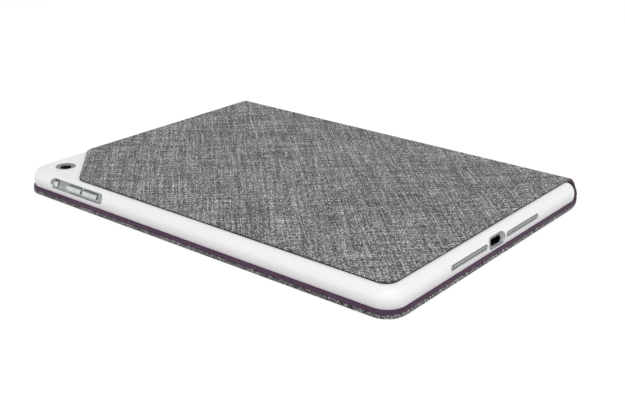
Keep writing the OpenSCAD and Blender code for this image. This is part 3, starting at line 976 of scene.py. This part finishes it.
def make_edges():
    """The lining wrapped round the deck's edge, and the panel's dark painted edge, which
    also stands for the shade on the panel's side wall.
    """
    high, low = DECK_HIGH.z, RIM_TOP
    profile = [(1.25, high + 0.04), (0.62, high + 0.04), (0.36, high - 0.06),
               (0.22, high - 0.3), (0.16, high - 0.7), (0.12, high - 1.25),
               (0.14, low + 0.5), (0.22, low + 0.22), (0.45, low + 0.04),
               (0.9, low), (1.2, low + 0.3)]
    piece = edge_strip("deck_edge_wrap", cover_outline(), profile, DECK_HIGH.y)
    cut_with(piece, [edge_hole("charge_socket", 0.12, 1.1),
                     edge_hole("power_switch", 0.3, 0.4)])
    finish_piece(piece, DECK, "cover")

    # The panel's dark edge: edge paint that also stands for the shade on its side wall
    low, high = PANEL_LOW.z + 0.01, PANEL_HIGH.z - PANEL_EDGE_H
    profile = [(0.10, low), (0.03, PANEL_LOW.z + 0.3), (0.06, high),
               (0.8, high), (0.8, low)]
    piece = edge_strip("panel_edge_paint_and_shade", panel_outline(), profile, PANEL_HIGH.y - 1)
    finish_piece(piece, EDGE_PAINT_AND_SHADE, "back")


# ------------------------------------------------------------------------ tray


def tray_ring(d, z):
    """The tray's outline moved in by d, at height z."""
    low, high = TRAY_LOW, TRAY_HIGH
    points = [(low.x + d, low.y + d), (high.x - d, low.y + d),
              (high.x - d, high.y - d), (low.x + d, high.y - d)]
    free, back = (max(r - d, SMALLEST_R) for r in (TRAY_R, TRAY_BACK_R))
    line = outline(points, [free, free, back, back], steps=20, sides=[80, 56, 80, 56])
    return [Vector((p.x, p.y, z)) for p, _ in line]


def shoulder(start, width, height):
    """Rings of the rounded shoulder, upwards."""
    steps = 18
    found = []
    for k in range(steps + 1):
        a = math.radians(90 * k / steps)
        found.append(tray_ring(start + width * (1 - math.cos(a)),
                               SHOULDER_Z + height * math.sin(a)))
    return found


def tray_solid():
    """The tray without its openings: up the outside and down into the bay."""
    z = TRAY_LOW.z
    foot = z + FOOT_H
    steps = 6
    outer = [tray_ring(TRAY_TUCK + FOOT_R, z)]
    for k in range(steps):
        up = k / steps
        outer.append(tray_ring(TRAY_TUCK * (1 - up) ** 2, foot + (SHOULDER_Z - foot) * up))
    outer += shoulder(0, SHOULDER_W, SHOULDER_H)
    mouth = TRAY_WALL + LIP_IN
    inner = [tray_ring(mouth, z), tray_ring(mouth, z + LIP_H),
             tray_ring(TRAY_WALL, z + LIP_H + LIP_IN)]
    inner += shoulder(TRAY_WALL, BAY_SHOULDER_W, BAY_TOP - SHOULDER_Z)
    shape = Shape()
    rows = shape.loft(inner[::-1] + outer)
    shape.cap(rows[0])
    shape.cap(rows[-1])
    return shape.make("tray")


def wall_point(height, depth):
    """A place in the wall: distance in from its outermost face, and height."""
    if height <= SHOULDER_Z:
        return depth, height
    a = math.asin(min(1, (height - SHOULDER_Z) / SHOULDER_H))
    out, rise = math.cos(a) * SHOULDER_H, math.sin(a) * SHOULDER_W
    size = math.hypot(out, rise)
    return (SHOULDER_W * (1 - math.cos(a)) + depth * out / size,
            height - depth * rise / size)


def on_side(along, height, depth):
    """A point in the free-edge wall."""
    d, z = wall_point(height, depth)
    return Vector((along, TRAY_LOW.y + d, z))


def on_end(along, height, depth):
    """A point in the connector-end wall."""
    d, z = wall_point(height, depth)
    return Vector((TRAY_HIGH.x - d, along, z))


def hole_rings(place, centre, size, r, steps, sides=None):
    """Rings of a hole in a wall. steps are its offset out and its depth."""
    low = Vector((centre[0] - size[0] / 2, centre[1] - size[1] / 2))
    high = Vector((centre[0] + size[0] / 2, centre[1] + size[1] / 2))
    line = box_outline(low, high, r, steps=14, gap=1.2, sides=sides)
    return [[place(p.x + n.x * e, p.y + n.y * e, depth) for p, n in line]
            for e, depth in steps]


def rounded_mouth(r, deep):
    """Offsets and depths of a hole whose rim is rounded by r.

    Above the wall the cutter flares on, so that it meets the wall at a slant.
    """
    angle, steps, above = 65, 6, 0.15
    found = []
    for k in range(steps, -1, -1):
        a = math.radians(angle * k / steps)
        found.append((r * (1 - math.cos(a)), r * (1 - math.sin(a))))
    e, depth = found[0]
    flare = math.tan(math.radians(angle)) * (above + depth)
    return [(e + flare, -above)] + found + [(0.0, deep)]


def closed_hole(name, rings, axis, outside):
    """A hole's cutter, led straight out to a plane beyond the wall."""
    flat = [p.copy() for p in rings[0]]
    for p in flat:
        p[axis] = outside
    shape = Shape()
    rows = shape.loft([flat] + rings)
    shape.cap(rows[0])
    shape.cap(rows[-1])
    return shape.make(name)


def opening(node, across, up):
    """Centre and size of the opening round an insert, along two of its axes."""
    low, high = box_mm(node)
    return (((low[across] + high[across]) / 2, (low[up] + high[up]) / 2),
            (high[across] - low[across] + HOLE_ROOM, high[up] - low[up] + HOLE_ROOM))


def end_r(size):
    """The radius that makes a slot's ends round."""
    return size[1] / 2 - SHORT_OF_ROUND


KEY_SLOT, KEY_SLOT_SIZE = opening("key_plate", 0, 2)
SPEAKER, SPEAKER_SIZE = opening("speaker_grille_left", 1, 2)
PORT, PORT_SIZE = opening("port_frame", 1, 2)
PORT_R = 2.9
PORT_FRAME_R = 2.85
PORT_SLOT = (9.6, 4.3)
PORT_SIDES = [8, 2, 8, 2]


def on_top(x, y, depth):
    """A point in the tray's top, from the camera window's centre."""
    return Vector((RING_CENTRE.x + x, RING_CENTRE.y + y, TRAY_HIGH.z - depth))


def make_tray():
    """The snap-in tray, with a rounded mouth round each opening."""
    front, end, top = TRAY_LOW.y - CLEAR, TRAY_HIGH.x + CLEAR, TRAY_HIGH.z + CLEAR
    wide = rounded_mouth(0.45, HOLE_DEPTH)
    narrow = rounded_mouth(0.3, HOLE_DEPTH)
    window_r = RING_R + 0.04
    holes = [closed_hole("slot", hole_rings(on_side, KEY_SLOT, KEY_SLOT_SIZE,
                                            end_r(KEY_SLOT_SIZE), wide), 1, front),
             closed_hole("port", hole_rings(on_end, PORT, PORT_SIZE, PORT_R, wide), 0, end)]
    for side in (-1, 1):
        centre = (side * abs(SPEAKER[0]), SPEAKER[1])
        holes.append(closed_hole("speaker", hole_rings(
            on_end, centre, SPEAKER_SIZE, end_r(SPEAKER_SIZE), narrow), 0, end))
    holes.append(closed_hole("camera", hole_rings(
        on_top, (0, 0), (2 * window_r, 2 * window_r), window_r - 0.01,
        rounded_mouth(0.3, 1.5)), 2, top))
    tray = cut_with(tray_solid(), holes)
    finish_piece(tray, WHITE, "back")
    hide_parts("tray_shell")


def frame_ring(size, r, depth):
    """One ring of the connector opening's frame."""
    return hole_rings(on_end, PORT, size, r, [(0.0, depth)], PORT_SIDES)[0]


def key_room(node, lift):
    """A cutter for the room that a side key moves in. lift is its travel upwards."""
    low, high = box_mm(node)
    room = 0.14
    r = (min(high.x - low.x, high.z - low.z) + 2 * room) / 2 - SHORT_OF_ROUND
    line = box_outline(Vector((low.x - room, low.z - room)),
                       Vector((high.x + room, high.z + lift + room)), r, steps=14)
    shape = Shape()
    rows = shape.loft([[Vector((p.x, y, p.y)) for p, _ in line]
                       for y in (TRAY_LOW.y - CLEAR, high.y + CLEAR)])
    for row in rows:
        shape.cap(row)
    return shape.make(node + "_room")


def make_bezels():
    """The grey sloping rims inside the side slot and the connector opening. The side slot's
    grey metal rim also stands for the shade on the slot's inner wall.
    """
    short = 0.06
    size = (KEY_SLOT_SIZE[0] - short, KEY_SLOT_SIZE[1] - short)
    # The side slot's grey metal rim, which also stands for the shade on the slot's inner
    # wall
    shape = Shape()
    rows = shape.loft(hole_rings(on_side, KEY_SLOT, size, end_r(size),
                                 [(0.0, 1.3), (0.0, 0.42), (-0.10, 0.36), (-0.45, 0.92),
                                  (-0.5, 1.0), (-0.5, 1.3)]))
    shape.band(rows[-1], rows[0])
    piece = shape.make("key_slot_bezel_and_shade", sharp=50)
    cut_with(piece, [key_room("mute_slider", TRAVEL["mute_slider"]),
                     key_room("volume_up_key", 0), key_room("volume_down_key", 0)])
    finish_piece(piece, SILVER, "back")

    size = (PORT_SIZE[0] - short, PORT_SIZE[1] - short)
    rings = hole_rings(on_end, PORT, size, PORT_FRAME_R,
                       [(0.0, 1.6), (0.0, 0.34), (-0.10, 0.30)], PORT_SIDES)
    for k in range(9):
        e = 0.2 + 0.75 * k / 8
        rings.append(frame_ring((size[0] - 2 * e, size[1] - 2 * e), PORT_FRAME_R - e,
                                0.36 + 0.95 * math.sin(math.radians(10 * k))))
    rings += [frame_ring(PORT_SLOT, end_r(PORT_SLOT), depth) for depth in (1.36, 1.6)]
    shape = Shape()
    rows = shape.loft(rings)
    shape.band(rows[-1], rows[0])
    piece = shape.make("port_bezel", sharp=50)
    finish_piece(piece, FRAME, "back")
    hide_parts("port_frame")


# ------------------------------------------------------------ stage and camera


def make_stage():
    """A plain pale floor that runs past the horizon."""
    shape = Shape()
    half = FLOOR_HALF
    row = shape.add([(-half, -half, FLOOR_Z), (half, -half, FLOOR_Z),
                     (half, half, FLOOR_Z), (-half, half, FLOOR_Z)])
    shape.cap(row)
    floor = shape.make("floor")
    n = Nodes("floor_paint")
    tone = n.noise(n.place(), 0.004, 2.0)
    n.put(n.shader.inputs["Base Color"],
          n.colours(tone, [(0.3, grey(0.34)), (0.7, grey(0.36))]))
    n.set(Roughness=0.9, Specular_IOR_Level=0.1)
    n.shader.inputs["Emission Color"].default_value = (1, 1, 1, 1)
    n.shader.inputs["Emission Strength"].default_value = FLOOR_GLOW
    floor.data.materials.append(n.material)


def make_camera():
    """The camera, from the yaw, pitch and roll fitted to the photograph's outline."""
    yaw, pitch, roll = (math.radians(a) for a in CAMERA_TURN)
    forward = Vector((-math.sin(yaw) * math.cos(pitch),
                      math.cos(yaw) * math.cos(pitch), -math.sin(pitch)))
    level = Vector((math.cos(yaw), math.sin(yaw), 0))
    upright = level.cross(forward)
    right = level * math.cos(roll) + upright * math.sin(roll)
    up = upright * math.cos(roll) - level * math.sin(roll)
    data = bpy.data.cameras.new("camera")
    data.lens = CAMERA_LENS
    data.sensor_width = SENSOR_W
    data.clip_end = 40
    camera = bpy.data.objects.new("camera", data)
    turn = Matrix((right, up, -forward)).transposed()
    camera.matrix_world = Matrix.Translation(CAMERA_PLACE * MM) @ turn.to_4x4()
    bpy.context.scene.collection.objects.link(camera)
    bpy.context.scene.camera = camera


def area_light(name, place, target, size, power):
    """A white soft box that faces a target, in metres and watts."""
    data = bpy.data.lights.new(name, "AREA")
    data.shape = "RECTANGLE"
    data.size, data.size_y = size
    data.energy = power
    light = bpy.data.objects.new(name, data)
    light.location = place
    aim = Vector(target) - Vector(place)
    light.rotation_euler = aim.to_track_quat("-Z", "Y").to_euler()
    bpy.context.scene.collection.objects.link(light)


def make_lights():
    """White studio light all round, with two soft boxes on the camera's side."""
    world = bpy.data.worlds.new("studio")
    world.use_nodes = True
    background = world.node_tree.nodes["Background"]
    background.inputs["Color"].default_value = (1, 1, 1, 1)
    background.inputs["Strength"].default_value = WORLD_LIGHT
    bpy.context.scene.world = world
    area_light("key", (0.42, -0.28, 0.85), (0, 0, 0), (0.9, 0.9), 3.8)
    area_light("front", (0.7, -1.2, 0.75), (0, 0, 0.01), (1.2, 0.8), 1.8)
    bpy.context.scene.view_settings.view_transform = "Standard"
    bpy.context.scene.view_settings.look = "None"


make_camera()
make_stage()
make_lights()
dress_cad_nodes()
make_back_cloth()
make_cover_cloth()
make_lining()
make_linings_inside()
make_edges()
make_tray()
make_bezels()
